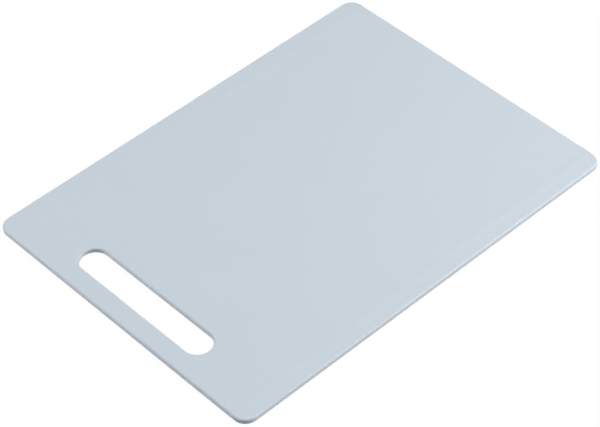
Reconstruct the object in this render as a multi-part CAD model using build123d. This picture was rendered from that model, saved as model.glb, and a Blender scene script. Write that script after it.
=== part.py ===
from build123d import *
import os

# Kitchen cutting mat: one moulded plastic plate with a hand slot through it.
# Millimetres. The origin is the centre of the underside, +X runs along the length,
# away from the hand slot, and +Z points up out of the cutting face.

# Plate
mat_length = 340.0
mat_width = 250.0
mat_thickness = 4.5
corner_radius = 10.0  # in plan, at all four corners
rim_radius = 1.4  # round-over of the outer edge, the same on both faces

# Hand slot, along the short edge at the -X end, with full half-round ends
slot_length = 125.0  # overall, across the mat
slot_width = 21.0
slot_rim_radius = 1.4  # round-over of the slot's edge, the same on both faces
grip_bar_width = 15.4  # solid bar between the slot and the short edge
slot_turn = 90.0  # degrees: the slot lies square across the mat

# Each round-over takes at most this share of the thickness, so that a flat band of wall is left
largest_rim_share = 0.45


def slot_centre():
    """Where the middle of the hand slot lies, measured in from the short edge."""
    distance_from_end = grip_bar_width + slot_width / 2
    return Pos(distance_from_end - mat_length / 2, 0)


def mat_outline():
    """The mat seen from above: a rounded rectangle with the hand slot cut out of it."""
    plate = RectangleRounded(mat_length, mat_width, corner_radius)
    slot = SlotOverall(slot_length, slot_width, rotation=slot_turn)
    return plate - slot_centre() * slot


def flat_faces(plate):
    """The underside and the cutting face, the lowest and the highest face of the plate."""
    faces = plate.faces().sort_by(Axis.Z)
    return faces[0], faces[-1]


def outer_edges(plate):
    """The edges round the outside of both flat faces."""
    return [edge for face in flat_faces(plate) for edge in face.outer_wire().edges()]


def slot_edges(plate):
    """The edges round the slot in both flat faces."""
    return [edge for face in flat_faces(plate) for edge in face.inner_wires().edges()]


def round_over(edges, radius):
    """The plate that these edges belong to, with a round-over along them, smaller if it is very thin."""
    return fillet(edges, min(radius, largest_rim_share * mat_thickness))


def cutting_mat():
    """The whole mat: one plate, pierced by the slot, with no sharp edge left."""
    plate = extrude(mat_outline(), mat_thickness)
    plate = round_over(outer_edges(plate), rim_radius)
    return round_over(slot_edges(plate), slot_rim_radius)


os.makedirs("parts", exist_ok=True)
export_step(cutting_mat(), "parts/cutting_mat.step")
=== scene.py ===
import math

import bpy
from mathutils import Matrix, Vector


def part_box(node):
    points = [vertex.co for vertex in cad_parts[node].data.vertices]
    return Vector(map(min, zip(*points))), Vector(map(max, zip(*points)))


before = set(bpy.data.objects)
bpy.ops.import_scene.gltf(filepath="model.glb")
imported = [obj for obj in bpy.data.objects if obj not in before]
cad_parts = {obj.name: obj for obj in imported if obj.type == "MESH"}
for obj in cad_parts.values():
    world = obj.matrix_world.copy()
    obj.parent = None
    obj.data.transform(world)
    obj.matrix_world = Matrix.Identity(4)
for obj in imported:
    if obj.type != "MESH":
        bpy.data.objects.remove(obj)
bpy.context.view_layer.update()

# Lengths are in metres, angles in degrees and lamp powers in watts.
# An azimuth of 0 stands on the -Y side of the mat and looks along +Y.
MM = 0.001
WHITE = (1.0, 1.0, 1.0)

# Camera, from the perspective of the photograph
IMAGE_WIDTH_PX = 600
FOCAL_LENGTH_PX = 2291.0
SENSOR_WIDTH_MM = 36.0
CAMERA_AZIMUTH = -42.316
CAMERA_ELEVATION = 44.931
CAMERA_ROLL = -1.851
CAMERA_DISTANCE = 1570.8 * MM
CAMERA_AIM = Vector((-12.98 * MM, -10.38 * MM, 0.0))

# Floor
FLOOR_HALF_SIZE = 6.0
FLOOR_COLOUR = (0.30, 0.30, 0.30)  # as it lights the mat. The camera sees a white floor
FLOOR_GLOW_SHARE = 0.96  # of that white. The rest is lit by the lamps and holds the mat's shadow

# Light: a large soft lamp on each side of the camera, and a weaker one high on the right
LAMP_DISTANCE = 1.6
RIGHT_AZIMUTH = 39.0
RIGHT_ELEVATION = 29.0
RIGHT_SIZE = 1.7
RIGHT_POWER = 26.6
LEFT_AZIMUTH = 231.0
LEFT_ELEVATION = 31.0
LEFT_SIZE = 1.6
LEFT_POWER = 19.8
UPPER_AZIMUTH = 63.0
UPPER_ELEVATION = 59.0
UPPER_SIZE = 1.45
UPPER_POWER = 8.3

# Random patterns run from 0 to 1. Their detail counts the finer layers on top of the coarsest one
NOISE_MIDDLE = 0.5

# Plastic: two near tones that drift into each other over the plate
PLASTIC_TONE = (0.5755, 0.644, 0.708)
PLASTIC_OTHER_TONE = (0.5925, 0.662, 0.7275)
TONE_PATCH_SIZE = 45 * MM
TONE_PATCH_DETAIL = 3.0

# Satin finish: a fine grain in relief and gloss, and a gloss that drifts over the plate
SMOOTH_ROUGHNESS = 0.38
COARSE_ROUGHNESS = 0.46
SHEEN_PATCH_SIZE = 60 * MM
SHEEN_PATCH_DETAIL = 2.0
SHEEN_PATCH_SHARE = 0.4  # of the range from smooth to coarse. The rest follows the grain
GRAIN_SIZE = 0.50 * MM
GRAIN_DETAIL = 2.0
GRAIN_DEPTH = 0.022 * MM

# Moulding: the faces wave a little, and swell in a faint line along each long edge
RIPPLE_SIZE = 40 * MM
RIPPLE_DETAIL = 1.0
RIPPLE_DEPTH = 0.06 * MM
SWELL_FROM_EDGE = 12 * MM
SWELL_HALF_WIDTH = 5 * MM
SWELL_HEIGHT = 0.14 * MM
SWELL_DRIFT = 6 * MM  # how far the line wanders across the plate
SWELL_DRIFT_LENGTH = 150 * MM
SWELL_DRIFT_DETAIL = 0.0


def direction(azimuth, elevation):
    """Unit vector from the object towards a place that is seen at this azimuth and elevation."""
    a, e = math.radians(azimuth), math.radians(elevation)
    return Vector((math.sin(a) * math.cos(e), -math.cos(a) * math.cos(e), math.sin(e)))


def into_scene(thing):
    """Links an object into the scene and returns it."""
    bpy.context.scene.collection.objects.link(thing)
    return thing


def opaque(colour):
    """A colour with the fourth value that Blender's colour sockets ask for."""
    return (*colour, 1.0)


def place_camera():
    """The camera of the photograph, as found from the mat's four edges and its slot."""
    back = direction(CAMERA_AZIMUTH, CAMERA_ELEVATION)
    right = Vector((0, 0, 1)).cross(back).normalized()
    up = back.cross(right)
    roll = math.radians(CAMERA_ROLL)
    rolled_right = right * math.cos(roll) + up * math.sin(roll)
    rolled_up = up * math.cos(roll) - right * math.sin(roll)
    data = bpy.data.cameras.new("camera")
    data.sensor_width = SENSOR_WIDTH_MM
    data.lens = FOCAL_LENGTH_PX / IMAGE_WIDTH_PX * SENSOR_WIDTH_MM
    camera = into_scene(bpy.data.objects.new("camera", data))
    turned = Matrix((rolled_right, rolled_up, back)).transposed()
    camera.matrix_world = Matrix.Translation(CAMERA_AIM + back * CAMERA_DISTANCE) @ turned.to_4x4()
    bpy.context.scene.camera = camera


def new_node(tree, kind, **values):
    """A shader node with some of its inputs set. An input's spaces are written as underscores."""
    node = tree.nodes.new(kind)
    for name, value in values.items():
        node.inputs[name.replace("_", " ")].default_value = value
    return node


def maths(tree, operation, *values):
    """The result of one sum. Each value is a number or another node's output."""
    node = tree.nodes.new("ShaderNodeMath")
    node.operation = operation
    for socket, value in zip(node.inputs, values):
        if isinstance(value, (int, float)):
            socket.default_value = value
        else:
            tree.links.new(value, socket)
    return node.outputs[0]


def blend_colours(tree, share, first, second):
    """The first colour where the share is zero, and the second where it is one."""
    node = tree.nodes.new("ShaderNodeMix")
    node.data_type = "RGBA"
    node.inputs["A"].default_value = opaque(first)
    node.inputs["B"].default_value = opaque(second)
    tree.links.new(share, node.inputs["Factor"])
    return node.outputs["Result"]


def seen_directly(tree):
    """One where the camera looks, straight or by way of a reflection or glass, and zero where light falls."""
    path = tree.nodes.new("ShaderNodeLightPath").outputs
    seen = maths(tree, "MAXIMUM", path["Is Camera Ray"], path["Is Glossy Ray"])
    return maths(tree, "MAXIMUM", seen, path["Is Transmission Ray"])


def light_room():
    """A room that is seen as plain white and mirrored in the sheen. Only the lamps light the mat's colour."""
    world = bpy.data.worlds.new("room")
    world.use_nodes = True
    tree = world.node_tree
    background = tree.nodes["Background"]
    background.inputs["Color"].default_value = opaque(WHITE)
    tree.links.new(seen_directly(tree), background.inputs["Strength"])
    bpy.context.scene.world = world


def add_lamp(name, azimuth, elevation, size, power, in_gloss):
    """A round soft lamp that faces the mat, and is mirrored in its sheen or not."""
    data = bpy.data.lights.new(name, "AREA")
    data.shape = "DISK"
    data.size = size
    data.energy = power
    lamp = into_scene(bpy.data.objects.new(name, data))
    towards = direction(azimuth, elevation)
    lamp.location = towards * LAMP_DISTANCE
    lamp.rotation_mode = "QUATERNION"
    lamp.rotation_quaternion = towards.to_track_quat("Z", "Y")
    lamp.visible_camera = False
    lamp.visible_glossy = in_gloss


def floor_material():
    """Matte floor that the camera sees as plain white, with the mat's soft shadow on it."""
    material = bpy.data.materials.new("floor")
    material.use_nodes = True
    tree = material.node_tree
    tree.nodes.clear()
    seen = seen_directly(tree)
    matte = new_node(tree, "ShaderNodeBsdfDiffuse")
    white = new_node(tree, "ShaderNodeEmission", Color=opaque(WHITE))
    mix = tree.nodes.new("ShaderNodeMixShader")
    output = tree.nodes.new("ShaderNodeOutputMaterial")
    tree.links.new(blend_colours(tree, seen, FLOOR_COLOUR, WHITE), matte.inputs["Color"])
    tree.links.new(maths(tree, "MULTIPLY", seen, FLOOR_GLOW_SHARE), mix.inputs["Fac"])
    tree.links.new(matte.outputs[0], mix.inputs[1])
    tree.links.new(white.outputs[0], mix.inputs[2])
    tree.links.new(mix.outputs[0], output.inputs["Surface"])
    return material


def make_floor():
    """The flat surface that the mat lies on."""
    half = FLOOR_HALF_SIZE
    corners = [(-half, -half, 0), (half, -half, 0), (half, half, 0), (-half, half, 0)]
    mesh = bpy.data.meshes.new("floor")
    mesh.from_pydata(corners, [], [(0, 1, 2, 3)])
    mesh.materials.append(floor_material())
    into_scene(bpy.data.objects.new("floor", mesh))


def noise(tree, place, feature_size, detail):
    """Soft random pattern with features of about this size."""
    node = new_node(tree, "ShaderNodeTexNoise", Scale=1.0 / feature_size, Detail=detail)
    tree.links.new(place, node.inputs["Vector"])
    return node.outputs["Fac"]


def bump(tree, height, depth, below=None):
    """Small relief of this depth, laid over the relief below it."""
    node = new_node(tree, "ShaderNodeBump", Strength=1.0, Distance=depth)
    tree.links.new(height, node.inputs["Height"])
    if below is not None:
        tree.links.new(below, node.inputs["Normal"])
    return node.outputs["Normal"]


def edge_swell(tree, place, half_width):
    """One on the crest of the faint line beside each long edge, falling to zero on both sides of it."""
    across = tree.nodes.new("ShaderNodeSeparateXYZ")
    tree.links.new(place, across.inputs[0])
    pattern = noise(tree, place, SWELL_DRIFT_LENGTH, SWELL_DRIFT_DETAIL)
    drift = maths(tree, "SUBTRACT", pattern, NOISE_MIDDLE)
    from_middle = maths(tree, "ABSOLUTE", across.outputs["Y"])
    wandered = maths(tree, "MULTIPLY_ADD", drift, SWELL_DRIFT, from_middle)
    off_crest = maths(tree, "ABSOLUTE", maths(tree, "SUBTRACT", wandered, half_width - SWELL_FROM_EDGE))
    slope = new_node(tree, "ShaderNodeMapRange", From_Max=SWELL_HALF_WIDTH, To_Min=1.0, To_Max=0.0)
    slope.interpolation_type = "SMOOTHSTEP"
    tree.links.new(off_crest, slope.inputs["Value"])
    return slope.outputs["Result"]


def plastic_material(half_width):
    """Pale blue-grey moulded plastic with a fine satin grain."""
    material = bpy.data.materials.new("mat_plastic")
    material.use_nodes = True
    tree = material.node_tree
    shader = tree.nodes["Principled BSDF"]
    place = tree.nodes.new("ShaderNodeTexCoord").outputs["Object"]

    patches = noise(tree, place, TONE_PATCH_SIZE, TONE_PATCH_DETAIL)
    tone = blend_colours(tree, patches, PLASTIC_TONE, PLASTIC_OTHER_TONE)
    tree.links.new(tone, shader.inputs["Base Color"])

    grain = noise(tree, place, GRAIN_SIZE, GRAIN_DETAIL)
    spread = COARSE_ROUGHNESS - SMOOTH_ROUGHNESS
    fine = maths(tree, "MULTIPLY_ADD", grain, spread * (1 - SHEEN_PATCH_SHARE), SMOOTH_ROUGHNESS)
    sheen = noise(tree, place, SHEEN_PATCH_SIZE, SHEEN_PATCH_DETAIL)
    roughness = maths(tree, "MULTIPLY_ADD", sheen, spread * SHEEN_PATCH_SHARE, fine)
    tree.links.new(roughness, shader.inputs["Roughness"])

    ripple = noise(tree, place, RIPPLE_SIZE, RIPPLE_DETAIL)
    relief = bump(tree, ripple, RIPPLE_DEPTH)
    relief = bump(tree, edge_swell(tree, place, half_width), SWELL_HEIGHT, below=relief)
    relief = bump(tree, grain, GRAIN_DEPTH, below=relief)
    tree.links.new(relief, shader.inputs["Normal"])
    return material


def dress_mat():
    """The mat's own solid, in its plastic."""
    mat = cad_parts["cutting_mat"]
    lowest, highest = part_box("cutting_mat")
    plastic = plastic_material((highest[1] - lowest[1]) / 2)
    for slot in mat.material_slots:
        slot.material = plastic


bpy.context.scene.view_settings.view_transform = "Standard"
place_camera()
light_room()
add_lamp("right_lamp", RIGHT_AZIMUTH, RIGHT_ELEVATION, RIGHT_SIZE, RIGHT_POWER, in_gloss=False)
add_lamp("left_lamp", LEFT_AZIMUTH, LEFT_ELEVATION, LEFT_SIZE, LEFT_POWER, in_gloss=False)
add_lamp("upper_lamp", UPPER_AZIMUTH, UPPER_ELEVATION, UPPER_SIZE, UPPER_POWER, in_gloss=True)
make_floor()
dress_mat()
